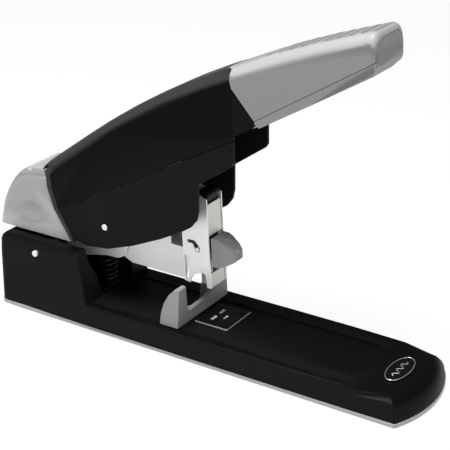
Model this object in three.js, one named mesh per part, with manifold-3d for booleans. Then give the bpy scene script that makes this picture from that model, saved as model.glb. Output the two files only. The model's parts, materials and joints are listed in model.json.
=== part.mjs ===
// Long reach stapler: a heavy stapler with a long paper bed, a sprung head and a sprung lever handle.
// Millimetres, +Z up, +X from the rear housing to the nose of the base, Y across, z = 0 under the feet.
import * as THREE from 'three';
import { mergeVertices } from 'three/addons/utils/BufferGeometryUtils.js';
import Module from 'manifold-3d';

const wasm = await Module();
wasm.setup();

// ---- driving dimensions -------------------------------------------------------------------------
const GAP = 0.3;                // running and assembly gap between neighbouring pieces
const BASE_LENGTH_REAR = 160.3; // from the middle of the base back to its rear wall
const BASE_CORNER_X = 147.3;    // where the straight sides meet the nose arc
const BASE_HALF_WIDTH = 38.3;
const REAR_BOW = 1.8;           // how much narrower the base is at its rear than in its middle
const FRONT_BOW = 0.8;
const NOSE_SAGITTA = 9.4;       // how far the round nose stands ahead of its corners
const TABLE_Z = -3;             // the plane that the feet stand on
const FOOT_HEIGHT = 0.3;        // how far the feet lift the tray
const TRAY_TOP = 0.2;
const DECK_Z = 14.4;
const SHELL_WALL = 2.4;
const HOUSING_TOP = 51;
const HOUSING_FRONT_TOP = -90.5;
const HOUSING_FRONT_FOOT = -81.3;
const HEAD_SLOT_HALF = 25.2;    // half of the gap between the housing's cheeks
const BASE_PIVOT = { x: -125.4, z: 43.4 };
const HANDLE_PIVOT = { x: -74, z: 70.4 };
const PIN_RADIUS = 2.2;
const CASING_HALF = 24.5;
const TAPER = 0.0325;           // how fast the casing and the grip narrow towards the hand
const TAPER_START = -70;
const CASING_WALL = 2;
const CAP_HALF = 22;
const NOSE_LEAN = THREE.MathUtils.degToRad(-3.4);
const NOSE_FOOT = { x: 0, z: 38.5 };
const MAG_FLOOR = 50;
const MAG_TOP = 59.5;
const ORIGIN_SHIFT = 7.1;       // puts the frame's origin under the middle of the whole length

// ---- materials ----------------------------------------------------------------------------------
const finish = (color, roughness, metalness) =>
  new THREE.MeshStandardMaterial({ color, roughness, metalness });
const BLACK = finish(0x1b1c1c, 0.45, 0);
const GREY = finish(0xa6a4a7, 0.5, 0);
const DARK_GREY = finish(0x807d82, 0.5, 0);
const NICKEL = finish(0xd8d9d6, 0.25, 1);
const SPRING = finish(0x8d8f90, 0.35, 1);
const TRAY = finish(0xb9bab8, 0.5, 0);
const BLUED = finish(0x2c2d2e, 0.4, 1);
const RUBBER = finish(0x222222, 0.9, 0);
const BADGE = finish(0xc9c9c9, 0.35, 0.6);

// ---- solids -------------------------------------------------------------------------------------
function toSolid(geometry) {
  const bare = geometry.index ? geometry.toNonIndexed() : geometry.clone();
  bare.deleteAttribute('normal');
  bare.deleteAttribute('uv');
  const merged = mergeVertices(bare, 1e-4);
  return new wasm.Manifold(new wasm.Mesh({
    numProp: 3,
    vertProperties: new Float32Array(merged.attributes.position.array),
    triVerts: new Uint32Array(merged.index.array),
  }));
}

function toGeometry(solid) {
  const mesh = solid.getMesh();
  const geometry = new THREE.BufferGeometry();
  geometry.setAttribute('position', new THREE.BufferAttribute(mesh.vertProperties, 3));
  geometry.setIndex(new THREE.BufferAttribute(mesh.triVerts, 1));
  return geometry;
}

// The biggest of the separate bodies that a cut leaves.
function largest(solid) {
  return solid.decompose().reduce((best, body) => (body.volume() > best.volume() ? body : best));
}

const outline = (points) => new THREE.Shape(points.map(([a, b]) => new THREE.Vector2(a, b)));

// A flat plate drawn in X and Z, from y = low to y = high.
function plateXZ(points, low, high) {
  const geometry = new THREE.ExtrudeGeometry(outline(points), { depth: high - low, bevelEnabled: false });
  geometry.rotateX(Math.PI / 2);
  geometry.translate(0, high, 0);
  return toSolid(geometry);
}

// A flat plate drawn in X and Y, from z = low to z = high.
function plateXY(points, low, high) {
  const geometry = new THREE.ExtrudeGeometry(outline(points), { depth: high - low, bevelEnabled: false });
  geometry.translate(0, 0, low);
  return toSolid(geometry);
}

// A flat plate drawn in Y and Z, from x = low to x = high.
function plateYZ(points, low, high) {
  const geometry = new THREE.ExtrudeGeometry(outline(points), { depth: high - low, bevelEnabled: false });
  geometry.rotateX(Math.PI / 2);
  geometry.rotateZ(Math.PI / 2);
  geometry.translate(low, 0, 0);
  return toSolid(geometry);
}

function block(x0, x1, y0, y1, z0, z1) {
  const geometry = new THREE.BoxGeometry(x1 - x0, y1 - y0, z1 - z0);
  geometry.translate((x0 + x1) / 2, (y0 + y1) / 2, (z0 + z1) / 2);
  return toSolid(geometry);
}

// A round bar across the stapler.
function barY(radius, x, z, y0, y1, sides = 20) {
  const geometry = new THREE.CylinderGeometry(radius, radius, y1 - y0, sides);
  geometry.translate(x, (y0 + y1) / 2, z);
  return toSolid(geometry);
}

function barZ(radius, x, y, z0, z1, sides = 20) {
  const geometry = new THREE.CylinderGeometry(radius, radius, z1 - z0, sides);
  geometry.rotateX(Math.PI / 2);
  geometry.translate(x, y, (z0 + z1) / 2);
  return toSolid(geometry);
}

// A closed skin over rings that all have the same number of points, with flat ends.
function loft(rings) {
  const count = rings[0].length;
  const positions = rings.flat().flatMap((p) => [p.x, p.y, p.z]);
  const index = [];
  for (let r = 0; r + 1 < rings.length; r += 1) {
    for (let i = 0; i < count; i += 1) {
      const a = r * count + i;
      const b = r * count + ((i + 1) % count);
      index.push(a, b, b + count, a, b + count, a + count);
    }
  }
  const last = (rings.length - 1) * count;
  for (let i = 1; i + 1 < count; i += 1) {
    index.push(0, i + 1, i, last, last + i, last + i + 1);
  }
  const geometry = new THREE.BufferGeometry();
  geometry.setAttribute('position', new THREE.BufferAttribute(new Float32Array(positions), 3));
  geometry.setIndex(index);
  return toSolid(geometry);
}

// Rows run through by smooth curves: each row is [foot x, foot z, crown x, crown z].
function fair(rows, count) {
  const curves = [0, 2].map((k) => new THREE.SplineCurve(rows.map((row) => new THREE.Vector2(row[k], row[k + 1]))));
  return Array.from({ length: count + 1 }, (_, i) => curves.flatMap((curve) => curve.getPoint(i / count).toArray()));
}

// An upside-down U that stands on foot {x, z} and reaches crown {x, z}; halfAt(x) is half its width, and
// footRadiusAt(x) rounds its lower edges.
function archRing(foot, crown, halfAt, fullRadius, steps, footRadiusAt) {
  const reach = new THREE.Vector2(crown.x - foot.x, crown.z - foot.z);
  const height = reach.length();
  const radius = Math.min(fullRadius, height * 0.9);
  reach.divideScalar(height);
  const at = (side, inset, h) => {
    const x = foot.x + reach.x * h;
    return new THREE.Vector3(x, side * (halfAt(x) - inset), foot.z + reach.y * h);
  };
  const footArc = (side) => {
    if (!footRadiusAt) {
      return [at(side, 0, 0)];
    }
    const small = Math.min(footRadiusAt(foot.x), (height - radius) * 0.9);
    return [90, 67.5, 45, 22.5, 0].map((degrees) => {
      const angle = THREE.MathUtils.degToRad(degrees);
      return at(side, small - small * Math.cos(angle), small - small * Math.sin(angle));
    });
  };
  const ring = footArc(1);
  for (const side of [1, -1]) {
    for (let i = 0; i <= steps; i += 1) {
      const turn = (i / steps) * (Math.PI / 2);
      const angle = side > 0 ? turn : Math.PI / 2 - turn;
      ring.push(at(side, radius - radius * Math.cos(angle), height - radius + radius * Math.sin(angle)));
    }
  }
  ring.push(...footArc(-1).reverse());
  return ring;
}

// A shell form that follows a crown line.
function archLoft(rows, halfAt, radius, steps = 8, footRadiusAt = null) {
  const rings = rows.map(([fx, fz, cx, cz]) =>
    archRing({ x: fx, z: fz }, { x: cx, z: cz }, halfAt, radius, steps, footRadiusAt));
  return loft(rings);
}

// The same rows with the crown drawn in by a wall.
function inset(rows, wall) {
  return rows.map(([fx, fz, cx, cz]) => {
    const length = Math.hypot(cx - fx, cz - fz);
    const keep = (length - wall) / length;
    return [fx, fz, fx + (cx - fx) * keep, fz + (cz - fz) * keep];
  });
}

// Points on an arc in the drawing plane.
function arc(cx, cy, radius, fromDeg, toDeg, steps) {
  const points = [];
  for (let i = 0; i <= steps; i += 1) {
    const angle = THREE.MathUtils.degToRad(fromDeg + ((toDeg - fromDeg) * i) / steps);
    points.push([cx + radius * Math.cos(angle), cy + radius * Math.sin(angle)]);
  }
  return points;
}

// A coil spring of round wire about the Z axis through the origin.
function coil(radius, wire, turns, height, stepsPerTurn = 14) {
  class Helix extends THREE.Curve {
    getPoint(t, target = new THREE.Vector3()) {
      const angle = t * turns * 2 * Math.PI;
      return target.set(radius * Math.cos(angle), radius * Math.sin(angle), t * height);
    }
  }
  const section = new THREE.Shape(arc(0, 0, wire, 0, 300, 5).map(([a, b]) => new THREE.Vector2(a, b)));
  return new THREE.ExtrudeGeometry(section, {
    extrudePath: new Helix(), steps: Math.round(turns * stepsPerTurn), bevelEnabled: false,
  });
}

// ---- the assembly -------------------------------------------------------------------------------
const stapler = new THREE.Group();
stapler.position.set(ORIGIN_SHIFT, 0, -TABLE_Z);
const nose = new THREE.Group();
nose.position.set(NOSE_FOOT.x, 0, NOSE_FOOT.z);
nose.rotation.y = NOSE_LEAN;
stapler.add(nose);

function add(name, solid, material, group = stapler) {
  const mesh = new THREE.Mesh(toGeometry(solid), material);
  mesh.name = name;
  group.add(mesh);
}

const SIDES = [['left', 1], ['right', -1]];
// the span in Y of a plate on one side, from its inner to its outer distance
const span = (sign, inner, outer) => (sign > 0 ? [inner, outer] : [-outer, -inner]);

// ---- base ---------------------------------------------------------------------------------------
// Half width of the base at x, with its gentle bow.
const baseHalf = (x) => BASE_HALF_WIDTH - (x < 0 ? REAR_BOW : FRONT_BOW) * (x / BASE_CORNER_X) ** 2;

function basePlan(shrink) {
  const rear = -BASE_LENGTH_REAR + shrink;
  const corner = 4;
  const side = [-140, -110, -80, -40, 0, 40, 80, 120].map((x) => [x, -(baseHalf(x) - shrink)]);
  const rearHalf = baseHalf(-BASE_LENGTH_REAR) - shrink;
  const half = baseHalf(BASE_CORNER_X) - shrink;
  const radius = (NOSE_SAGITTA ** 2 + half ** 2) / (2 * NOSE_SAGITTA);
  const sweep = THREE.MathUtils.radToDeg(Math.asin((half - 0.8) / radius));
  const front = arc(BASE_CORNER_X + NOSE_SAGITTA - radius - shrink, 0, radius, -sweep, sweep, 20);
  const rearCorner = arc(rear + corner, -(rearHalf - corner), corner, -180, -90, 4);
  const lower = [...rearCorner, ...side, [BASE_CORNER_X - shrink - 0.8, -half]];
  const upper = lower.map(([x, y]) => [x, -y]).reverse();
  return [...lower, ...front, ...upper];
}

// Plans one above another: [z, how far the plan shrinks, how far it shrinks round the nose].
function stack(levels) {
  return loft(levels.map(([z, shrink, noseShrink = shrink]) => {
    const rounded = basePlan(noseShrink);
    return basePlan(shrink).map(([x, y], i) => {
      const share = THREE.MathUtils.smoothstep(x, 112, 150);
      const [noseX, noseY] = rounded[i];
      return new THREE.Vector3(THREE.MathUtils.lerp(x, noseX, share), THREE.MathUtils.lerp(y, noseY, share), z);
    });
  }));
}

const FEET = [[-135, 24], [-135, -24], [128, 24], [128, -24]];
const FOOT_RADIUS = 8;
const FOOT_DEPTH = 1.6;
FEET.forEach(([x, y], i) =>
  add(`rubber_foot_${i + 1}`, barZ(FOOT_RADIUS, x, y, TABLE_Z, TABLE_Z + FOOT_DEPTH), RUBBER));

const trayFoot = TABLE_Z + FOOT_HEIGHT;
const tray = stack([[trayFoot, 0.3], [trayFoot + 0.4, 0], [TRAY_TOP, 0]]);
add('base_tray', FEET.reduce((solid, [x, y]) =>
  solid.subtract(barZ(FOOT_RADIUS + GAP, x, y, TABLE_Z - 1, TABLE_Z + FOOT_DEPTH + GAP)), tray), TRAY);

function housingOuter() {
  const rear = -BASE_LENGTH_REAR + 0.4;
  const rows = [];
  const levels = [[TRAY_TOP + GAP, 0], [36, 0.4], [HOUSING_TOP - 4.6, 0.8], [HOUSING_TOP - 3, 1.2],
    [HOUSING_TOP - 1.6, 2.1], [HOUSING_TOP - 0.5, 3.6], [HOUSING_TOP, 5.4]];
  for (const [z, shrink] of levels) {
    const rise = (z - DECK_Z) / (HOUSING_TOP - DECK_Z);
    const front = THREE.MathUtils.lerp(HOUSING_FRONT_FOOT, HOUSING_FRONT_TOP, Math.max(0, rise));
    const half = 36.4 - shrink;
    const corner = 5;
    const x0 = rear + shrink;
    rows.push([
      ...arc(x0 + corner, -(half - corner), corner, 180, 270, 4),
      ...arc(front - 1.5, -(half - 1.5), 1.5, 270, 360, 2),
      ...arc(front - 1.5, half - 1.5, 1.5, 0, 90, 2),
      ...arc(x0 + corner, half - corner, corner, 90, 180, 4),
    ].map(([x, y]) => new THREE.Vector3(x, y, z)));
  }
  return loft(rows);
}

// The opening in the housing's front wall: wide between the cheeks, narrowing in a curve to the deck.
function housingThroat() {
  const foot = 18;
  const points = [[-foot, DECK_Z], [foot, DECK_Z], [foot + 0.6, 24], [foot + 2.2, 31], [foot + 5, 36.5],
    [HEAD_SLOT_HALF, 40], [HEAD_SLOT_HALF, HOUSING_TOP + 5], [-HEAD_SLOT_HALF, HOUSING_TOP + 5],
    [-HEAD_SLOT_HALF, 40], [-foot - 5, 36.5], [-foot - 2.2, 31], [-foot - 0.6, 24]];
  return plateYZ(points, -104, -70);
}

function baseShell() {
  const deck = stack([[TRAY_TOP + GAP, 0.3], [5, 0.6, 1], [8.5, 0.9, 2.4], [11.2, 1.1, 4.4], [12.8, 1.3, 6.6],
    [13.8, 2, 9.4], [DECK_Z, 3.1, 14.6]]);
  const under = stack([[-1, 0.3 + SHELL_WALL], [DECK_Z - SHELL_WALL, 1.2 + SHELL_WALL, 14.6 + SHELL_WALL]]);
  const well = block(-157, -98, -HEAD_SLOT_HALF, HEAD_SLOT_HALF, DECK_Z, HOUSING_TOP + 5);
  const cheekHollow = (sign) => {
    const [y0, y1] = span(sign, HEAD_SLOT_HALF + SHELL_WALL, 33);
    return block(-153, -94, y0, y1, 2, HOUSING_TOP - 7);
  };
  let shell = deck.add(housingOuter()).subtract(under).subtract(well).subtract(housingThroat());
  for (const [, sign] of SIDES) {
    const [y0, y1] = span(sign, HEAD_SLOT_HALF - 2, 40);
    shell = shell.subtract(cheekHollow(sign));
    shell = shell.subtract(barY(PIN_RADIUS + GAP, BASE_PIVOT.x, BASE_PIVOT.z, y0, y1));
  }
  const anvilPocket = block(-9.3, 16.3, -15.3, 15.3, DECK_Z - 0.6, DECK_Z + 2);
  return shell.subtract(anvilPocket);
}
add('base_shell', baseShell(), BLACK);

// Bracket: a steel U bolted to the deck that carries the head's pivot pin between the cheeks.
function baseBracket() {
  const cheek = [[-142, 14.8], [-108, 14.8], [-112, 34], ...arc(BASE_PIVOT.x, BASE_PIVOT.z, 7.5, -20, 200, 8),
    [-139, 34]];
  let bracket = block(-142, -84, -13.5, 13.5, 14.8, 16.8);
  for (const [, sign] of SIDES) {
    bracket = bracket.add(plateXZ(cheek, ...span(sign, 12, 13.5)));
  }
  return bracket.subtract(barY(PIN_RADIUS + GAP, BASE_PIVOT.x, BASE_PIVOT.z, -20, 20));
}
add('base_bracket', baseBracket(), BLUED);
[[-134, 0], [-104, 0]].forEach(([x, y], i) => {
  add(`bracket_screw_${i + 1}`, barZ(3.2, x, y, 17.1, 19.2, 12).subtract(block(x - 4, x + 4, -0.5, 0.5, 18.4, 20)),
    SPRING);
});
add('head_pivot_pin', barY(PIN_RADIUS, BASE_PIVOT.x, BASE_PIVOT.z, -37.4, 37.4, 24), NICKEL);

const SPRING_X = -91;
const SPRING_SEAT_Z = 17.1;
const SPRING_TOP_Z = 43.2;
add('spring_seat', barZ(7.6, SPRING_X, 0, SPRING_SEAT_Z, SPRING_SEAT_Z + 1.5)
  .add(barZ(4, SPRING_X, 0, SPRING_SEAT_Z, SPRING_SEAT_Z + 6)), BLUED);
const liftSpring = coil(5.6, 0.8, 6, SPRING_TOP_Z - SPRING_SEAT_Z - 4);
liftSpring.translate(SPRING_X, 0, SPRING_SEAT_Z + 2.8);
add('lift_spring', toSolid(liftSpring), SPRING);

// Anvil: a hardened plate let into the deck, with two curved pockets that fold the staple's legs.
function anvilPlate() {
  const plate = block(-9, 16, -15, 15, DECK_Z - 0.3, 15.5);
  const pocket = (y) => block(-1.2, 0.8, y - 2.9, y + 2.9, 14.9, 17);
  const relief = block(5.4, 6.8, -3, 2, 14.9, 17);
  return [-5.2, 5.2].reduce((solid, y) => solid.subtract(pocket(y)), plate).subtract(relief);
}
add('anvil_plate', anvilPlate(), BLUED);
[-10.5, 10.5].forEach((y, i) => add(`anvil_screw_${i + 1}`, barZ(1.8, 12, y, 15.8, 16.2, 12), BLUED));

// Badge: a blank raised oval.
function badge() {
  const points = [];
  for (let i = 0; i < 32; i += 1) {
    const angle = (i / 32) * 2 * Math.PI;
    points.push([132.3 + 7.5 * Math.cos(angle), 16.5 * Math.sin(angle)]);
  }
  return plateXY(points, DECK_Z + 0.1, DECK_Z + 0.8);
}
add('badge', badge(), BADGE);

// ---- paper guide --------------------------------------------------------------------------------
const GUIDE_Z = DECK_Z + GAP;
const GUIDE_FRONT = -12;
const GUIDE_HALF = 30.5;
function paperGuide() {
  const side = [[GUIDE_FRONT, GUIDE_Z], [GUIDE_FRONT, 41], [-13, 42], [-15.4, 41.6], [-20.2, 36.4],
    [-23.7, 30.2], [-25.8, 22.5], [-26.4, GUIDE_Z]];
  // a U across the stapler: its fins lean in a little and its floor sweeps up into the left one
  const left = [[GUIDE_HALF, GUIDE_Z], [28.4, 43], [20.4, 43], [19, 33.5], [16.6, 29], [11, 25.2], [4, 23.8], [-4, 23.2]];
  const right = [[-16, 22.6], [-17.7, 23], [-18.5, 24.4], [-20.4, 43], [-28.4, 43], [-GUIDE_HALF, GUIDE_Z]];
  const across = [...left, ...right];
  const bay = [[-15.3, 0], [-15.4, 10], [-17.4, 14.4], [-21.6, 16.6], [-28, 17.2], [-40, 17.2], [-40, 0]];
  const rearBay = [...bay.slice(0, -1), ...bay.slice(0, -1).reverse().map(([x, y]) => [x, -y])];
  return plateYZ(across, -27, GUIDE_FRONT + 1).intersect(plateXZ(side, -32, 32))
    .subtract(plateXY(rearBay, 0, 60));
}
add('paper_guide', paperGuide(), DARK_GREY);

// ---- head: frame, rear cap, magazine housing and nose -------------------------------------------
const FRAME_OUTLINE = [
  ...arc(BASE_PIVOT.x, BASE_PIVOT.z, 9, 120, 260, 7), [-100, 38.5], [-84, 42.4],
  ...arc(-76.5, 52.5, 10, -95, -10, 6), [-60, 62], [-46, 70], [-24, 80], [-13, 87], [-12, 100],
  [-40, 104], [-92, 98], [-124, 64],
];
for (const [side, sign] of SIDES) {
  let plate = plateXZ(FRAME_OUTLINE, ...span(sign, 9.4, 10.6));
  for (const [pivot, radius] of [[BASE_PIVOT, PIN_RADIUS + GAP], [HANDLE_PIVOT, PIN_RADIUS + GAP]]) {
    plate = plate.subtract(barY(radius, pivot.x, pivot.z, -12, 12));
  }
  add(`frame_${side}`, plate, NICKEL);
}
add('handle_pin', barY(PIN_RADIUS, HANDLE_PIVOT.x, HANDLE_PIVOT.z, -CASING_HALF - 0.1, CASING_HALF + 0.1, 24), NICKEL);
add('frame_spacer_rear', barY(2.5, -103, 48, -9.1, 9.1, 14), SPRING);
add('frame_spacer_top', barY(2.5, -104, 78, -9.1, 9.1, 14), SPRING);
add('lift_spring_plate', block(-98, -84.5, -9.1, 9.1, SPRING_TOP_Z + 0.3, SPRING_TOP_Z + 1.8), NICKEL);

const CAP_FOOT = { x: -122, z: 51.6 };
const CAP_CROWN = [[-170.9, 51.6], [-169, 59.3], [-166.8, 67.6], [-163, 76.2], [-157.9, 84.6], [-151.2, 92.2],
  [-143.2, 96.9], [-134, 98.3], [-124.5, 98.8], [-117, 98.8]];
function rearCap() {
  const rows = fair(CAP_CROWN.map(([x, z]) => [CAP_FOOT.x, CAP_FOOT.z, x, z]), 22);
  const outer = archLoft(rows, () => CAP_HALF, 6.5);
  const footLow = rows.map(([fx, , cx, cz]) => [fx, CAP_FOOT.z - 0.001, cx, cz]);
  const inner = archLoft(inset(footLow, 2), () => CAP_HALF - 2, 4.8);
  const front = plateXZ([[-122, 51.6], [-102, 51.6], [-108, 62], [-113, 73], [-116.5, 98], [-122, 98]],
    -CAP_HALF, CAP_HALF);
  const frontHollow = plateXZ([[-162, 40], [-90, 40], [-90, 98.4], [-122, 98]], -CAP_HALF + 2, CAP_HALF - 2);
  return outer.add(front).subtract(inner).subtract(frontHollow);
}
add('rear_cap', rearCap(), GREY);

const MAG_COVER = [[-88, 60], [-72, 44], [-64, 40.6], [-20, 40.6], [-19, 48.9], [-4, 48.9], [-4.2, 62.8], [-32, 62.8], [-32, 68], [-88, 68]];
for (const [side, sign] of SIDES) {
  add(`magazine_cover_${side}`, plateXZ(MAG_COVER, ...span(sign, 7, 7.9)), NICKEL);
}
const RAIL_FRONT = -4.7;
add('staple_rail', block(-64, RAIL_FRONT, -5.2, 5.2, 51.2, MAG_TOP).subtract(block(-65, -3, -4, 4, 50, MAG_TOP - 1.2)), NICKEL);
function magazineSlide() {
  const tray = block(-66, -0.6, -6.6, 6.6, MAG_FLOOR - 1, MAG_FLOOR + 9);
  const hollow = block(-65.2, 3, -5.9, 5.9, MAG_FLOOR, MAG_FLOOR + 20);
  const driverGap = block(RAIL_FRONT, 3, -5.9, 5.9, MAG_FLOOR - 3, MAG_FLOOR + 2);
  return tray.subtract(hollow).subtract(driverGap);
}
add('magazine_slide', magazineSlide(), NICKEL);
add('pusher', block(-26, -10, -5.6, 5.6, MAG_TOP + GAP, MAG_TOP + 1.8)
  .add(block(-12, -10, -5.6, 5.6, MAG_TOP + GAP, MAG_TOP + 2)), DARK_GREY);

// The nose stands in its own leaning frame: x forward, z up from the nose's foot.
const NOSE_HEIGHT = 62;
const LATCH = { x: -8.8, z: 26.2 };
function noseSide(sign) {
  // the foot's opening is a quarter oval with a tight corner at the front
  const oval = arc(0, 0, 1, 180, 96, 8).map(([c, q]) => [-4.9 + 11 * c, 1.4 + 8.6 * q]);
  const plate = [[0.4, 0], [0.4, NOSE_HEIGHT], [-4, NOSE_HEIGHT + 2], [-14, NOSE_HEIGHT + 2], [-20, 44],
    [-20.5, 2.4], ...oval, [-4.2, 9.2], [-3.6, 8], [-3, 0]];
  const [y0, y1] = span(sign, 8.2, 9.1);
  const slot = block(-19.5, -16.7, y0 - 1, y1 + 1, 4, 20.6);
  const hook = [[-16.3, 32.4], [-10.8, 32.2], [-7.6, 28.8], [-8.2, 26.2], [-10.9, 26.8], [-12.3, 29.9], [-16.3, 30.2]];
  return plateXZ(plate, y0, y1).subtract(slot).subtract(plateXZ(hook, y0 - 1, y1 + 1))
    .subtract(barY(2.1, LATCH.x, LATCH.z, y0 - 1, y1 + 1, 16));
}
for (const [side, sign] of SIDES) {
  add(`nose_${side}`, noseSide(sign), NICKEL, nose);
}
for (const [side, sign] of SIDES) {
  add(`latch_pin_${side}`, barY(1.5, LATCH.x, LATCH.z, ...span(sign, 8, 9.7), 14), NICKEL, nose);
}
add('nose_front_plate', block(-1, 0, -7.9, 7.9, 36, NOSE_HEIGHT - 4), NICKEL, nose);
add('nose_lower_plate', block(-1, 0, -7.9, 7.9, 0, 10), NICKEL, nose);
add('staple_guide', block(-8.6, -3.4, -6.7, 6.7, 1.4, 9.6).subtract(block(-9, -2, -5, 5, 0, 7)), DARK_GREY, nose);
// a buffer across the top of the nose, over the driver
add('nose_cap', plateXZ([[-9.5, NOSE_HEIGHT + 0.4], [0.3, NOSE_HEIGHT + 0.4], [0.3, NOSE_HEIGHT + 2.4],
  [-1.4, NOSE_HEIGHT + 4.4], [-7.6, NOSE_HEIGHT + 4.4], [-9.5, NOSE_HEIGHT + 3]], -7.9, 7.9), BLACK, nose);

// ---- release tab on the magazine ----------------------------------------------------------------
const TAB_HINGE = { x: 4.6, z: 18.2 };
const TAB_ROOT = 7.7;           // half width against the nose
function releaseTab() {
  const side = [[1.2, 15.8], [4.4, 14.8], [10, 16.4], [16.4, 19.6], [18.4, 21.4], [19, 23.4], [18.2, 25.6], [15, 28.2],
    [8.6, 33], [5.4, 34.6], [1.2, 34.8]];
  const plan = [[1.1, -TAB_ROOT], [8, -TAB_ROOT + 0.3], [14, -6.2], [17.4, -4.2], [18.7, -1.8]];
  const plate = [...plan, ...plan.map(([x, y]) => [x, -y]).reverse()];
  const dish = new THREE.SphereGeometry(10, 20, 12);
  dish.scale(0.95, 0.5, 0.42);
  dish.rotateY(THREE.MathUtils.degToRad(38));
  dish.translate(14, 0, 33);
  // the tab snaps over its pin through a slot in its root
  const pinHole = barY(1 + GAP, TAB_HINGE.x, TAB_HINGE.z, -6.5, 6.5, 12)
    .add(block(0, TAB_HINGE.x, -6.5, 6.5, TAB_HINGE.z - 0.9, TAB_HINGE.z + 0.9));
  return plateXZ(side, -9, 9).intersect(plateXY(plate, 10, 45)).subtract(toSolid(dish)).subtract(pinHole);
}
add('release_tab', releaseTab(), DARK_GREY, nose);
add('release_tab_pin', barY(1, TAB_HINGE.x, TAB_HINGE.z, -6.2, 6.2, 12), NICKEL, nose);

// ---- driver -------------------------------------------------------------------------------------
add('driver_blade', block(-2.6, -1.5, -5.2, 5.2, 24, 61.8), BLUED, nose);
function driverBlock() {
  const body = block(-16.5, -2.9, -4.6, 4.6, 47, 61);
  const slot = plateXZ([...arc(-8.3, 54.25, 2.8, -90, 90, 6), ...arc(-11.5, 54.25, 2.8, 90, 270, 6)], -6, 6);
  return body.subtract(slot);
}
add('driver_block', driverBlock(), BLUED, nose);

// ---- handle: levers, casing, grip ---------------------------------------------------------------
const PRESS = { x: -14.5, z: 92 };
const LEVER = [
  ...arc(HANDLE_PIVOT.x, HANDLE_PIVOT.z, 8, 190, 290, 5), [-40, 76], [-18, 86.5],
  ...arc(PRESS.x, PRESS.z, 4.6, -60, 90, 6), [-24, 99], [-34, 118], [-8, 150], [40, 176], [96, 202],
  [94, 210], [30, 184], [-40, 146], [-70, 112],
];
for (const [side, sign] of SIDES) {
  const [y0, y1] = span(sign, 5.1, 6.3);
  add(`lever_${side}`, plateXZ(LEVER, y0, y1)
    .subtract(barY(PIN_RADIUS + GAP, HANDLE_PIVOT.x, HANDLE_PIVOT.z, -12, 12)), NICKEL);
}
add('press_pin', barY(2.4, PRESS.x, PRESS.z, -4.8, 4.8, 16), SPRING);
const returnSpring = coil(4.4, 0.7, 4.5, 7, 12);
returnSpring.rotateX(Math.PI / 2);
returnSpring.translate(HANDLE_PIVOT.x, 3.5, HANDLE_PIVOT.z);
add('return_spring', toSolid(returnSpring), SPRING);

// half width of the casing and the grip at x
const headHalf = (x) => CASING_HALF - TAPER * Math.max(0, x - TAPER_START);

// crown line of the casing, from its rear edge to the grip; each row's foot lies below the casing
const CASING_ROWS = [[-106, 40, -133, 97.8], [-98, 40, -122, 107], [-88, 40, -105, 119.4], [-76, 42, -86, 133.2],
  [-60, 45, -66, 147], [-40, 48, -45, 160.3], [-20, 52, -22, 173.4], [2, 58, 1, 184.6], [26, 66, 18, 191.9],
  [56, 78, 36, 199.6]];
const SEAM = [[38.6, 163.4], [26.4, 177.3], [22.6, 181.6], [21.2, 186.6], [20.7, 189], [20.4, 192], [22, 197],
  [31, 206]];
const CASING_SIDE = [[-102.6, 51.6], [-98, 55.4], [-90, 53.2], [-72, 55.2], [-52, 62], [-29, 72.3], [-12, 81.6],
  [-6.4, 85.4], [-2.2, 91], [-0.8, 97.5], [-0.9, 115.2], [23, 132], [24.6, 134.6], [24.3, 151.3], [38.2, 159.6],
  ...SEAM, [20, 215], [-127.5, 215], [-127.5, 100.4], [-123, 98.4], [-122.1, 88.2], [-117.3, 73.9],
  [-110.5, 63.4]];
const CREASE = [[-140, 61.6], [-112.2, 74.8], [23.7, 148.5], [60, 168.2]];

// On top the seam bows back towards the rear, so the grip has a round tongue there.
function seamTongue(gap) {
  const half = [[40, 19], [24, 19], [20.6, 17], [15.8, 12.5], [12.4, 7], [11, 0]].map(([x, y]) => [x + gap, y]);
  return plateXY([...half, ...half.slice(0, -1).reverse().map(([x, y]) => [x, -y])].reverse(), 183, 240);
}

function casing() {
  const rows = fair(CASING_ROWS, 27);
  const outer = archLoft(rows, headHalf, 10).intersect(plateXZ(CASING_SIDE, -30, 30)).subtract(seamTongue(0));
  const inner = archLoft(inset(rows, CASING_WALL), (x) => headHalf(x) - CASING_WALL, 8.4);
  const pinHole = barY(PIN_RADIUS + GAP, HANDLE_PIVOT.x, HANDLE_PIVOT.z, -30, 30);
  return outer.subtract(inner).subtract(pinHole);
}
const above = (dz) => plateXZ([...CREASE.map(([x, z]) => [x, z + dz]), [60, 240], [-180, 240], [-180, CREASE[0][1] + dz]],
  -40, 40);
const below = (dz) => plateXZ([...CREASE.map(([x, z]) => [x, z + dz]), [60, 0], [-180, 0], [-180, CREASE[0][1] + dz]]
  .reverse(), -40, 40);
const whole = casing();
// rims: the chamfered edges where the casing's sides meet the rear cap
const LIP = [[-102.6, 51.6], [-110.5, 63.4], [-117.3, 73.9], [-122.1, 88.2], [-123, 98.4], [-119.6, 103]];
const lipEnds = LIP.length - 1;
function band(x0, x1, rise) {
  const line = LIP.map(([x, z], i) => [x, z + (i === lipEnds ? rise : 0) - (i === 0 ? 2 : 0)]);
  return [...line.map(([x, z]) => [x + x0, z]), ...line.map(([x, z]) => [x + x1, z]).reverse()];
}
const RIM_WIDTH = 4.2;
for (const [side, sign] of SIDES) {
  const strip = plateXZ(band(-2, RIM_WIDTH, 0).reverse(), ...span(sign, 20, CASING_HALF - 0.7));
  add(`casing_rim_${side}`, largest(whole.intersect(strip)), BLACK);
}
const rimSpace = SIDES.map(([, sign]) => plateXZ(band(-4, RIM_WIDTH + GAP, GAP).reverse(), ...span(sign, 14, 30)));
const panels = rimSpace.reduce((solid, space) => solid.subtract(space), whole);
add('casing_upper', panels.intersect(above(0.2)), BLACK);
const skirts = panels.intersect(below(-0.2));
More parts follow.
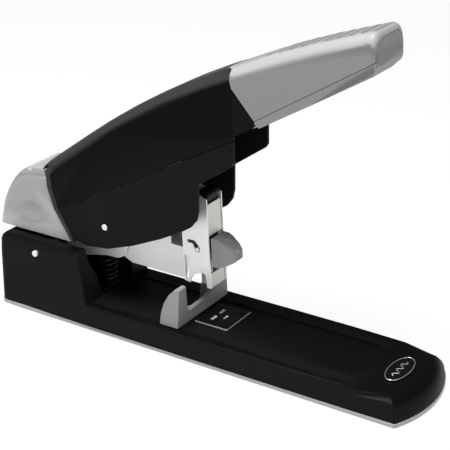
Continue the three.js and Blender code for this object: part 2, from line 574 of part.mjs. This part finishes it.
for (const [side, sign] of SIDES) {
  const half = block(-200, 100, ...span(sign, 0, 40), 0, 240);
  add(`casing_skirt_${side}`, skirts.intersect(half), BLACK);
}

// ---- grip ---------------------------------------------------------------------------------------
// each row's foot lies on the underside of the grip; the crown runs over the top and round the tip
const GRIP_ROWS = [[42, 160, 3, 185.4], [44.5, 161.4, 18, 191.9], [46.8, 162.8, 32, 198.1], [62, 171.8, 52, 206.7],
  [80, 182.4, 75, 215.4], [98, 193, 95, 222.2], [104, 196.6, 104, 225.1], [107.6, 198.8, 109, 226.6],
  [109.9, 200.2, 111.3, 226.8], [111.3, 201.4, 113.2, 225], [112.3, 202.6, 114.3, 221], [113, 203.8, 115.2, 215.5],
  [113.4, 204.8, 115.5, 211], [113.7, 205.6, 115.2, 208]];
const GRIP_WALL = 2.4;
const GRIP_PART = [[36, 161.9], [120, 213.9], [140, 226.2]];
const HOLLOW_ROWS = 6;          // the hollow stops short of the tip, which is solid
const TIP_X = 115.1;
const gripSide = (points) => plateXZ(points, -30, 30);
// the grip's lower edges grow rounder towards its tip
const footRadius = (x) => 0.1 + 8.5 * THREE.MathUtils.smoothstep(x, 70, 125);

function gripShell() {
  const rows = fair(GRIP_ROWS, 36);
  const hollow = fair(inset(GRIP_ROWS, GRIP_WALL).map(([fx, fz, cx, cz]) => [fx - 1.2, fz + 2.1, cx, cz])
    .slice(1, 1 + HOLLOW_ROWS), 14);
  hollow.unshift([34, 152, -4, 179]);   // the hollow runs out through the open seam end
  const seam = [...SEAM.map(([x, z]) => [x + GAP, z]), [31 + GAP, 240], [160, 240], [160, 130], [38.6 + GAP, 130]];
  const tipHalf = headHalf(TIP_X);
  const corner = 3.4;
  const plan = [[-20, -30], [TIP_X - corner, -30], ...arc(TIP_X - corner, corner - tipHalf, corner, -90, 0, 5),
    ...arc(TIP_X - corner, tipHalf - corner, corner, 0, 90, 5), [TIP_X - corner, 30], [-20, 30]];
  return archLoft(rows, headHalf, 9, 8, footRadius)
    .subtract(archLoft(hollow, (x) => headHalf(x) - GRIP_WALL, 7))
    .intersect(gripSide(seam.reverse()).add(seamTongue(GAP)))
    .intersect(plateXY(plan, 100, 240));
}

// The lower half of the grip: everything under the part line, and a plug let into the tip.
function lowerZone(gap) {
  const shifted = GRIP_PART.map(([x, z]) => [x - gap, z + gap]);
  const half = [[15.6 + gap, 200], [15.6 + gap, 217], [14.6 + gap, 219.6 + gap], [9 + gap, 223.2 + gap]];
  const plug = [...half, ...half.map(([y, z]) => [-y, z]).reverse()];
  return gripSide([...shifted, [140, 130], [0, 130], [0, 161.9]].reverse()).add(plateYZ(plug, 110.6 - gap, 125));
}
const grip = gripShell();
add('grip_bottom', grip.intersect(lowerZone(0)), GREY);
add('grip_top', grip.subtract(lowerZone(0.25)), GREY);

export default stapler;
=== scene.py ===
"""Looks of a long reach stapler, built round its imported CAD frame. Metres, +Z up, +X towards the nose."""
import json
import math

import bmesh
import bpy
from mathutils import Matrix, Vector

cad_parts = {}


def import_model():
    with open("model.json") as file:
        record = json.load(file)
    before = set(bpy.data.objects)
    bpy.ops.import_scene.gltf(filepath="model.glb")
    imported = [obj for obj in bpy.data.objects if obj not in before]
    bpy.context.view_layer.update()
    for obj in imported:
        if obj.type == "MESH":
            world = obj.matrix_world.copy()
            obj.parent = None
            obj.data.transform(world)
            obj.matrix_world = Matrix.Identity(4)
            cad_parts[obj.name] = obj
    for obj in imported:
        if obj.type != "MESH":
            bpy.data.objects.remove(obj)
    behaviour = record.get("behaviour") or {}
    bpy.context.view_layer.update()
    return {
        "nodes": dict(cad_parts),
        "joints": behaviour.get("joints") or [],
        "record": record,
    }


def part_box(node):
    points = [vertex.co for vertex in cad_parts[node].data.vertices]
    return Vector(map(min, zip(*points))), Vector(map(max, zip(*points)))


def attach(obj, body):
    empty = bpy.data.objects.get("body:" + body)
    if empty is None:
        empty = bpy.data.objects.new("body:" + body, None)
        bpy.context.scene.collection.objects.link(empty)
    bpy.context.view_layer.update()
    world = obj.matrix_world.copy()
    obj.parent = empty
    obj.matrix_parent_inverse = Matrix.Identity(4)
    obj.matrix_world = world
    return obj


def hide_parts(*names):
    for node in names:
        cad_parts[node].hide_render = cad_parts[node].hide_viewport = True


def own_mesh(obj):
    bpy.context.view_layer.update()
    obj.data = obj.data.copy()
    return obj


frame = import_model()
MM = 0.001


# ---- places -------------------------------------------------------------------------------------
# Details are set out in the stapler's own millimetres: x = 0 at the foot of its nose, which stands
# 125.4 mm ahead of the head's pivot, y = 0 on its centre plane and z = 0 is 43.4 mm under the pivot.
joint_of = {joint["name"]: joint for joint in frame["joints"]}
PIVOT = Vector(joint_of["head_pivot"]["pos_m"])
DATUM = PIVOT + Vector((125.4, 0, -43.4)) * MM
NOSE_LEAN = math.radians(-3.4)


def at(x, y, z):
    return DATUM + Vector((x, y, z)) * MM


def on_nose(x, y, z):
    """A place in the nose's own leaning frame: x forward, z up from its foot."""
    return at(0, 0, 38.5) + Matrix.Rotation(NOSE_LEAN, 3, "Y") @ (Vector((x, y, z)) * MM)


# ---- node graphs --------------------------------------------------------------------------------
class Graph:
    """A material with a Principled shader and short calls to add nodes to it."""

    def __init__(self, name):
        self.material = bpy.data.materials.new(name)
        self.material.use_nodes = True
        self.tree = self.material.node_tree
        self.shader = self.tree.nodes["Principled BSDF"]

    def node(self, kind, inputs=None, **settings):
        made = self.tree.nodes.new(kind)
        for key, value in settings.items():
            setattr(made, key, value)
        for key, value in (inputs or {}).items():
            self.feed(made.inputs[key], value)
        return made

    def feed(self, socket, value):
        if isinstance(value, bpy.types.NodeSocket):
            self.tree.links.new(value, socket)
        else:
            socket.default_value = value

    def set(self, name, value):
        self.feed(self.shader.inputs[name], value)

    def place(self, scale=(1, 1, 1)):
        where = self.node("ShaderNodeTexCoord").outputs["Object"]
        if scale == (1, 1, 1):
            return where
        return self.node("ShaderNodeMapping", {"Vector": where, "Scale": scale}).outputs["Vector"]

    def noise(self, scale, detail=4.0, where=None, roughness=0.55):
        made = self.node("ShaderNodeTexNoise", {"Vector": where or self.place(), "Scale": scale,
                                                "Detail": detail, "Roughness": roughness})
        return made.outputs["Fac"]

    def ramp(self, value, low, high, start, end):
        return self.node("ShaderNodeMapRange", {"Value": value, "From Min": low, "From Max": high,
                                                "To Min": start, "To Max": end}).outputs["Result"]

    def mix(self, factor, first, second):
        made = self.node("ShaderNodeMix", data_type="RGBA")
        self.feed(made.inputs["Factor"], factor)
        self.feed(made.inputs["A"], first)
        self.feed(made.inputs["B"], second)
        return made.outputs["Result"]

    def bump(self, height, distance, strength):
        inputs = {"Height": height, "Distance": distance, "Strength": strength}
        return self.node("ShaderNodeBump", inputs).outputs["Normal"]

    def rise(self):
        """How far a surface faces up: 0 on walls and 1 on level tops."""
        normal = self.node("ShaderNodeTexCoord").outputs["Normal"]
        return self.node("ShaderNodeSeparateXYZ", {"Vector": normal}).outputs["Z"]

    def shoulder(self):
        """1 where a surface turns from upright to level, and 0 on walls and flat tops."""
        rise = self.rise()
        start = self.ramp(rise, 0.08, 0.4, 0.0, 1.0)
        end = self.ramp(rise, 0.88, 0.99, 1.0, 0.0)
        return self.node("ShaderNodeMath", {0: start, 1: end}, operation="MULTIPLY").outputs["Value"]

    def edge_wear(self, low, high):
        """1 on sharp outward edges and 0 elsewhere."""
        pointiness = self.node("ShaderNodeNewGeometry").outputs["Pointiness"]
        return self.ramp(pointiness, low, high, 0.0, 1.0)


def rgba(red, green, blue):
    return (red, green, blue, 1.0)


def moulded_plastic(name, colour, worn, roughness, specular=0.5, grain=2.0e-5, grain_scale=2600.0,
                    painted_shoulder_tone=None, painted_wall_light=None):
    """Fine spark-eroded grain, a slow change of tone and rubbed edges.

    handled and wall colour the shoulders and the upright faces, where those differ from the rest: a painted
    highlight on shoulders (painted shade where that colour is darker) and painted light on walls.
    They are set so that shoulders and walls come out as light or dark as on the real machine.
    """
    g = Graph(name)
    slow = g.ramp(g.noise(22.0, 3.0), 0.3, 0.7, 0.0, 0.6)
    body = g.mix(slow, rgba(*colour), rgba(*worn))
    rubbed = rgba(*(min(1.0, tone * 1.25 + 0.002) for tone in worn))
    # Painted light: upright faces take their own, lighter colour.
    if painted_wall_light:
        body = g.mix(g.ramp(g.rise(), 0.5, 0.72, 1.0, 0.0), body, rgba(*painted_wall_light))
    # Shoulders take their own colour: a painted highlight where it is lighter, painted shade where it is
    # darker.
    if painted_shoulder_tone:
        body = g.mix(g.shoulder(), body, rgba(*painted_shoulder_tone))
    g.set("Base Color", g.mix(g.edge_wear(0.52, 0.6), body, rubbed))
    g.set("Roughness", g.ramp(g.noise(60.0, 5.0), 0.3, 0.7, roughness - 0.04, roughness + 0.05))
    g.set("Specular IOR Level", specular)
    fine = g.noise(grain_scale, 2.0)
    g.set("Normal", g.bump(fine, grain, 0.6))
    return g.material


def plated_steel(name, colour, dull, roughness, stretch=(1, 40, 40), metallic=1.0):
    """Plate over rolled strip: fine grain lines along the part and faint clouding.

    With metallic below 1 it stays pale where it would mirror the black base.
    """
    g = Graph(name)
    lines = g.noise(55.0, 6.0, g.place(stretch), 0.7)
    cloud = g.noise(35.0, 3.0)
    g.set("Metallic", metallic)
    g.set("Base Color", g.mix(g.ramp(cloud, 0.35, 0.7, 0.0, 1.0), rgba(*colour), rgba(*dull)))
    g.set("Roughness", g.ramp(lines, 0.3, 0.7, roughness - 0.06, roughness + 0.08))
    g.set("Normal", g.bump(lines, 1.5e-5, 0.5))
    return g.material


# Upright faces are painted lighter than the rest: painted light.
BLACK = moulded_plastic("black_plastic", (0.0024, 0.0026, 0.0026), (0.0032, 0.0035, 0.0035), 0.38, 0.05,
                        painted_wall_light=(0.0078, 0.0084, 0.0082))
# Shoulders painted much lighter than the rest: a painted highlight.
CASING_BLACK = moulded_plastic("casing_black", (0.0018, 0.002, 0.002), (0.0025, 0.0028, 0.0028), 0.42, 0.05,
                               painted_shoulder_tone=(0.032, 0.034, 0.034))
RIM_BLACK = moulded_plastic("rim_black", (0.02, 0.02, 0.021), (0.028, 0.028, 0.029), 0.5, 0.2)
# Shoulders painted darker than the rest: painted shade.
GREY = moulded_plastic("grey_plastic", (0.34, 0.337, 0.345), (0.37, 0.367, 0.375), 0.45, 0.25,
                       painted_shoulder_tone=(0.22, 0.218, 0.226))
# Shoulders painted lighter than the sides: a painted highlight.
GRIP_GREY = moulded_plastic("grip_grey", (0.165, 0.163, 0.17), (0.18, 0.178, 0.185), 0.45, 0.4,
                            painted_shoulder_tone=(0.36, 0.358, 0.37))
DARK_GREY = moulded_plastic("dark_grey_plastic", (0.25, 0.243, 0.255), (0.28, 0.272, 0.285), 0.45, 0.35)
NICKEL = plated_steel("nickel_steel", (0.93, 0.94, 0.92), (0.89, 0.9, 0.88), 0.45, metallic=0.75)
NICKEL_FACE = plated_steel("nickel_face", (0.72, 0.74, 0.7), (0.66, 0.68, 0.64), 0.5, (1, 60, 1), 0.75)
BRIGHT = plated_steel("bright_steel", (0.96, 0.97, 0.96), (0.93, 0.94, 0.93), 0.4, metallic=0.35)
SPRING = plated_steel("spring_steel", (0.06, 0.063, 0.066), (0.04, 0.042, 0.045), 0.3, (30, 30, 30))
BLUED = plated_steel("blued_steel", (0.015, 0.016, 0.017), (0.03, 0.031, 0.033), 0.4)
TRAY = moulded_plastic("grey_tray", (0.34, 0.34, 0.335), (0.4, 0.4, 0.395), 0.45)
RUBBER = moulded_plastic("rubber", (0.018, 0.018, 0.018), (0.03, 0.03, 0.03), 0.85, 0.3, 6.0e-5, 900.0)
BADGE = plated_steel("badge_metal", (0.8, 0.8, 0.8), (0.7, 0.7, 0.7), 0.3)
LOOK = {"black_plastic": BLACK, "grey_plastic": GREY, "dark_grey_plastic": DARK_GREY,
        "nickel_steel": NICKEL, "spring_steel": SPRING, "blued_steel": BLUED, "grey_tray": TRAY,
        "rubber": RUBBER, "badge_metal": BADGE}
OWN_LOOK = {"magazine_cover_left": BRIGHT, "magazine_cover_right": BRIGHT, "frame_left": BRIGHT,
            "frame_right": BRIGHT, "nose_front_plate": NICKEL_FACE, "nose_lower_plate": NICKEL_FACE,
            "casing_rim_left": RIM_BLACK, "casing_rim_right": RIM_BLACK,
            "grip_top": GRIP_GREY, "grip_bottom": GRIP_GREY, "casing_upper": CASING_BLACK, "badge": BLACK}

slot_of = {row["node"]: row["material_slot"] for row in frame["record"]["subparts"]}
body_of = {node: body for body, nodes in frame["record"]["behaviour"]["bodies"].items() for node in nodes}


# ---- solids that cut or add detail --------------------------------------------------------------
def hull(points):
    """The convex solid round some points."""
    work = bmesh.new()
    for point in points:
        work.verts.new(point)
    made = bmesh.ops.convex_hull(work, input=work.verts)
    loose = [item for item in made["geom_interior"] if isinstance(item, bmesh.types.BMVert)]
    bmesh.ops.delete(work, geom=loose, context="VERTS")
    bmesh.ops.dissolve_limit(work, angle_limit=math.radians(0.5), verts=work.verts, edges=work.edges)
    bmesh.ops.recalc_face_normals(work, faces=work.faces)
    mesh = bpy.data.meshes.new("detail")
    work.to_mesh(mesh)
    work.free()
    solid = bpy.data.objects.new("detail", mesh)
    bpy.context.collection.objects.link(solid)
    return solid


def box_solid(low, high):
    corners = [Vector((x, y, z)) for x in (low.x, high.x) for y in (low.y, high.y) for z in (low.z, high.z)]
    return hull(corners)


def ball_points(centre, radii, steps):
    """Points of an ellipsoid whose axes are the frame's own."""
    points = []
    for i in range(1, steps // 2):
        polar = math.pi * i / (steps // 2)
        for k in range(steps):
            around = 2 * math.pi * k / steps
            local = Vector((radii[0] * math.sin(polar) * math.cos(around),
                            radii[1] * math.sin(polar) * math.sin(around), radii[2] * math.cos(polar)))
            points.append(centre + local)
    pole = Vector((0, 0, radii[2]))
    return points + [centre + pole, centre - pole]


def ellipsoid(centre, radii, steps=40):
    return hull(ball_points(centre, radii, steps))


def bar(start, end, radius, steps):
    """A round-ended bar between two points."""
    radii = (radius, radius, radius)
    return hull(ball_points(start, radii, steps) + ball_points(end, radii, steps))


def cone(centre, axis, radius, tip, depth, steps=24):
    """A blunt cone along an axis, from one radius down to its tip's."""
    turn = axis.to_track_quat("Z", "Y").to_matrix()
    points = []
    for height, reach in ((0.0, radius), (depth, tip)):
        for k in range(steps):
            around = 2 * math.pi * k / steps
            spot = Vector((reach * math.cos(around), reach * math.sin(around), height))
            points.append(centre + turn @ spot)
    return hull(points)


# ---- pieces made from CAD nodes -----------------------------------------------------------------
def apply_modifier(piece, kind, **settings):
    modifier = piece.modifiers.new(kind.lower(), kind)
    for key, value in settings.items():
        setattr(modifier, key, value)
    bpy.context.view_layer.objects.active = piece
    piece.select_set(True)
    bpy.ops.object.modifier_apply(modifier=modifier.name)
    piece.select_set(False)


def combine(piece, solids, operation):
    for solid in solids:
        apply_modifier(piece, "BOOLEAN", object=solid, operation=operation, solver="EXACT")
        mesh = solid.data
        bpy.data.objects.remove(solid)
        bpy.data.meshes.remove(mesh)


def smooth(piece, angle):
    mesh = piece.data
    for face in mesh.polygons:
        face.use_smooth = True
    mesh.set_sharp_from_angle(angle=math.radians(angle))
    apply_modifier(piece, "WEIGHTED_NORMAL", weight=50, keep_sharp=True)


def refine(node, width=0.4, angle=30.0, segments=2, cuts=(), joins=()):
    """A copy of a CAD node with detail cut in or joined on, its sharp edges rounded and smooth shading."""
    mesh = frame["nodes"][node].data.copy()
    work = bmesh.new()
    work.from_mesh(mesh)
    bmesh.ops.remove_doubles(work, verts=work.verts, dist=1e-6)
    bmesh.ops.dissolve_limit(work, angle_limit=math.radians(1.0), verts=work.verts, edges=work.edges)
    work.to_mesh(mesh)
    work.free()
    piece = bpy.data.objects.new(node + "_skin", mesh)
    bpy.context.collection.objects.link(piece)
    mesh.materials.clear()
    mesh.materials.append(OWN_LOOK.get(node, LOOK[slot_of[node]]))
    combine(piece, joins, "UNION")
    combine(piece, cuts, "DIFFERENCE")
    apply_modifier(piece, "BEVEL", width=width * MM, segments=segments, limit_method="ANGLE",
                   angle_limit=math.radians(angle), miter_outer="MITER_ARC", harden_normals=False)
    smooth(piece, angle)
    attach(piece, body_of[node])
    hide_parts(node)
    return piece


# ---- base ---------------------------------------------------------------------------------------
DECK_Z = 14.4
RECESS_DEPTH = 0.7
SIDES = (1, -1)


TICK_COUNT = 11
TICK_PITCH = 4.5
TICK_START = (-76, -33.0, DECK_Z - 0.15)
TICK_RADIUS = 0.32 * MM


def scale_marks():
    """A ruler of raised ticks on the near side of the bed, long every fifth one."""
    x, y, z = TICK_START
    ticks = []
    for i in range(TICK_COUNT):
        along = x + TICK_PITCH * i
        reach = 5.0 if i % 5 == 0 else 3.0
        ticks.append(bar(at(along, y, z), at(along, y + reach, z), TICK_RADIUS, 8))
    return ticks


def base_shell():
    recess = box_solid(at(-78.5, -22.3, DECK_Z - RECESS_DEPTH), at(110.6, 22.3, DECK_Z + 3))
    refine("base_shell", 0.5, 28, 3, cuts=[recess], joins=scale_marks())


def anvil_plate():
    """Dark on top, with bright ground edges and dull pockets."""
    piece = refine("anvil_plate", 0.25, 30, 2)
    mesh = piece.data
    mesh.materials.append(NICKEL)
    mesh.materials.append(NICKEL_FACE)
    low = Vector([min(vertex.co[axis] for vertex in mesh.vertices) for axis in range(3)])
    high = Vector([max(vertex.co[axis] for vertex in mesh.vertices) for axis in range(3)])
    for face in mesh.polygons:
        if face.center.z < high.z - 0.05 * MM:
            inside = min(*(face.center - low).xy, *(high - face.center).xy) > 1.0 * MM
            face.material_index = 2 if inside else 1


RING_INSET = 0.7 * MM       # from the badge's rim in to the middle of its ring
LINE_RADIUS = 0.36 * MM


def badge():
    """A blank oval badge: a bright ring and a plain wave on black."""
    refine("badge", 0.25, 30, 2)
    low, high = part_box("badge")
    centre = (low + high) / 2
    half_x = (high.x - low.x) / 2 - RING_INSET
    half_y = (high.y - low.y) / 2 - RING_INSET
    ring = [centre + Vector((half_x * math.cos(a), half_y * math.sin(a), 0))
            for a in (2 * math.pi * k / 72 for k in range(72))]
    wave = [centre + Vector((0.26 * half_x * math.sin(3 * math.pi * s), half_y * 0.62 * s, 0))
            for s in (k / 24 - 1 for k in range(49))]
    for name, points, closed in (("badge_ring", ring, True), ("badge_wave", wave, False)):
        line = tube(name, [Vector((p.x, p.y, high.z)) for p in points], LINE_RADIUS, closed, BADGE)
        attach(line, "base")


def tube(name, points, radius, closed, material, sides=10):
    """A mesh tube along a line of points."""
    count = len(points)
    verts = []
    normal = None
    for i, point in enumerate(points):
        before = points[i - 1] if i or closed else point
        after = points[(i + 1) % count] if i + 1 < count or closed else point
        tangent = (after - before).normalized()
        if normal is None:
            normal = tangent.orthogonal().normalized()
        normal = (normal - tangent * normal.dot(tangent)).normalized()
        side = tangent.cross(normal)
        for k in range(sides):
            turn = 2 * math.pi * k / sides
            verts.append(point + radius * (math.cos(turn) * normal + math.sin(turn) * side))
    faces = []
    for i in range(count if closed else count - 1):
        for k in range(sides):
            a, b = i * sides + k, i * sides + (k + 1) % sides
            c, d = ((i + 1) % count) * sides + (k + 1) % sides, ((i + 1) % count) * sides + k
            faces.append((a, b, c, d))
    if not closed:
        faces.append(tuple(range(sides))[::-1])
        faces.append(tuple(range((count - 1) * sides, count * sides)))
    mesh = bpy.data.meshes.new(name)
    mesh.from_pydata(verts, [], faces)
    work = bmesh.new()
    work.from_mesh(mesh)
    bmesh.ops.recalc_face_normals(work, faces=work.faces)
    work.to_mesh(mesh)
    work.free()
    for face in mesh.polygons:
        face.use_smooth = True
    mesh.materials.append(material)
    piece = bpy.data.objects.new(name, mesh)
    bpy.context.collection.objects.link(piece)
    return piece


# ---- head ---------------------------------------------------------------------------------------
RIPPLES = ((-161.4, 80.0), (-157.6, 85.4), (-153.2, 90.4), (-148.0, 94.6), (-142.2, 97.6))
RIPPLE_RADIUS = 1.7 * MM
RIPPLE_REACH = 18.5


def rear_cap():
    """Thumb dimples on both cheeks and five ripples over the crown."""
    cuts = [ellipsoid(at(-139, side * 28.3, 67.0), (19.5 * MM, 7.2 * MM, 16.0 * MM)) for side in SIDES]
    for x, z in RIPPLES:
        cuts.append(bar(at(x, -RIPPLE_REACH, z), at(x, RIPPLE_REACH, z), RIPPLE_RADIUS, 12))
    refine("rear_cap", 0.5, 35, 3, cuts=cuts)


def nose():
    mark = [bar(on_nose(0.3, y, z), on_nose(0.3, y2, z2), 0.42 * MM, 10)
            for y, z, y2, z2 in ((1.4, 7.2, 1.0, 6.0), (1.0, 6.0, -0.4, 4.4), (-0.4, 4.4, -1.0, 4.2))]
    refine("nose_lower_plate", 0.3, 30, 2, cuts=mark)


def pins():
    """Turned pins with a dimple in each end."""
    for name in ("head_pivot_pin", "handle_pin"):
        low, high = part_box(name)
        centre = (low + high) / 2
        dimples = []
        for side in SIDES:
            end = Vector((centre.x, high.y if side > 0 else low.y, centre.z))
            start = end + Vector((0, side * 0.2 * MM, 0))
            dimples.append(cone(start, Vector((0, -side, 0)), 1.5 * MM, 0.2 * MM, 1.0 * MM))
        refine(name, 0.35, 40, 3, cuts=dimples)


# ---- handle -------------------------------------------------------------------------------------
GRIP_CROWN = [(3, 185.4), (18, 191.9), (32, 198.1), (52, 206.7), (75, 215.4), (95, 222.2), (104, 225.1),
              (109, 226.6)]


def crown_z(x):
    """Height of the grip's crown at x, in millimetres."""
    for (x0, z0), (x1, z1) in zip(GRIP_CROWN, GRIP_CROWN[1:]):
        if x <= x1:
            return z0 + (z1 - z0) * (x - x0) / (x1 - x0)
    return GRIP_CROWN[-1][1]


GROOVE_COUNT = 9
GROOVE_PITCH = 7.6
GROOVE_START = 42.5
GROOVE_REACH = 11.4
GROOVE_RADIUS = 1.8 * MM


def grip_top():
    """Finger grooves across the crown."""
    grooves = []
    for i in range(GROOVE_COUNT):
        x = GROOVE_START + GROOVE_PITCH * i
        z = crown_z(x) + 0.2
        grooves.append(bar(at(x, -GROOVE_REACH, z), at(x, GROOVE_REACH, z), GROOVE_RADIUS, 14))
    refine("grip_top", 0.45, 35, 3, cuts=grooves)


def coil(name, node, axis, radius, wire, turns, material):
    """A closed-end coil spring in the space of its CAD node."""
    low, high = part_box(node)
    centre = (low + high) / 2
    length = (high - low).dot(Vector([abs(part) for part in axis])) - 2 * wire
    turn = axis.to_track_quat("Z", "Y").to_matrix()
    steps = int(turns * 28)
    points = []
    for i in range(steps + 1):
        share = i / steps
        rise = (3 * share ** 2 - 2 * share ** 3) * 0.35 + share * 0.65
        angle = share * turns * 2 * math.pi
        points.append(centre + turn @ Vector((radius * math.cos(angle), radius * math.sin(angle),
                                              (rise - 0.5) * length)))
    piece = tube(name, points, wire, False, material)
    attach(piece, body_of[node])
    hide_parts(node)
    return piece


def squashing_spring():
    """The lift spring as a coil, with a mesh of its own."""
    spring = coil("lift_coil", "lift_spring", Vector((0, 0, 1)), 5.4 * MM, 0.8 * MM, 6.5, SPRING)
    low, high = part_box("lift_spring")
    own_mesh(spring)


base_shell()
anvil_plate()
badge()
rear_cap()
nose()
pins()
grip_top()
refine("grip_bottom", 0.45, 35, 3)
refine("casing_upper", 0.5, 35, 3)
refine("paper_guide", 0.9, 30, 4)
refine("release_tab", 1.5, 24, 5)
squashing_spring()
coil("return_coil", "return_spring", Vector((0, 1, 0)), 4.4 * MM, 0.7 * MM, 5, SPRING)
DETAILED = {"base_shell", "anvil_plate", "badge", "rear_cap", "nose_lower_plate", "head_pivot_pin",
            "handle_pin", "grip_top", "grip_bottom", "casing_upper", "paper_guide", "release_tab",
            "lift_spring", "return_spring"}
for name in slot_of:
    if name not in DETAILED:
        refine(name)


# ---- stage, light and camera --------------------------------------------------------------------
def stage():
    bpy.ops.mesh.primitive_plane_add(size=12, location=(0, 0, 0))
    floor = bpy.context.active_object
    floor.name = "floor"
    g = Graph("floor_paper")
    g.set("Base Color", rgba(0.1, 0.1, 0.1))
    g.set("Roughness", 0.9)
    g.set("Specular IOR Level", 0.0)
    g.set("Emission Color", rgba(1, 1, 1))
    g.set("Emission Strength", 0.88)
    floor.data.materials.append(g.material)


def area_light(name, place, aim, size, power):
    light = bpy.data.lights.new(name, "AREA")
    light.shape = "RECTANGLE"
    light.size, light.size_y = size
    light.energy = power
    lamp = bpy.data.objects.new(name, light)
    lamp.location = place
    lamp.rotation_euler = (Vector(aim) - Vector(place)).to_track_quat("-Z", "Y").to_euler()
    bpy.context.collection.objects.link(lamp)


def world(strength):
    sky = bpy.data.worlds.new("studio")
    sky.use_nodes = True
    sky.node_tree.nodes["Background"].inputs["Color"].default_value = rgba(1, 1, 1)
    sky.node_tree.nodes["Background"].inputs["Strength"].default_value = strength
    bpy.context.scene.world = sky


def camera():
    """Looks down at the stapler from its right, ahead of its middle."""
    azimuth, elevation = math.radians(32.4), math.radians(23.6)
    back = Vector((math.sin(azimuth) * math.cos(elevation), -math.cos(azimuth) * math.cos(elevation),
                   math.sin(elevation)))
    aim = at(-12.1, 27.1, 67.7)
    lens = bpy.data.cameras.new("camera")
    lens.lens = 100.0
    lens.sensor_width = 36.0
    lens.clip_start = 0.05
    view = bpy.data.objects.new("camera", lens)
    view.location = aim + back * 0.838
    view.rotation_euler = (-back).to_track_quat("-Z", "Y").to_euler()
    bpy.context.collection.objects.link(view)
    bpy.context.scene.camera = view


stage()
world(0.15)
area_light("left", (-1.35, -0.5, 0.75), (0, 0, 0.12), (0.6, 0.7), 3)
area_light("right", (1.3, -0.3, 0.6), (0, 0, 0.05), (0.8, 0.6), 3)
area_light("top", (-0.1, -0.4, 1.5), (0, 0, 0.1), (0.9, 0.7), 37)
bpy.context.scene.view_settings.view_transform = "Standard"
camera()
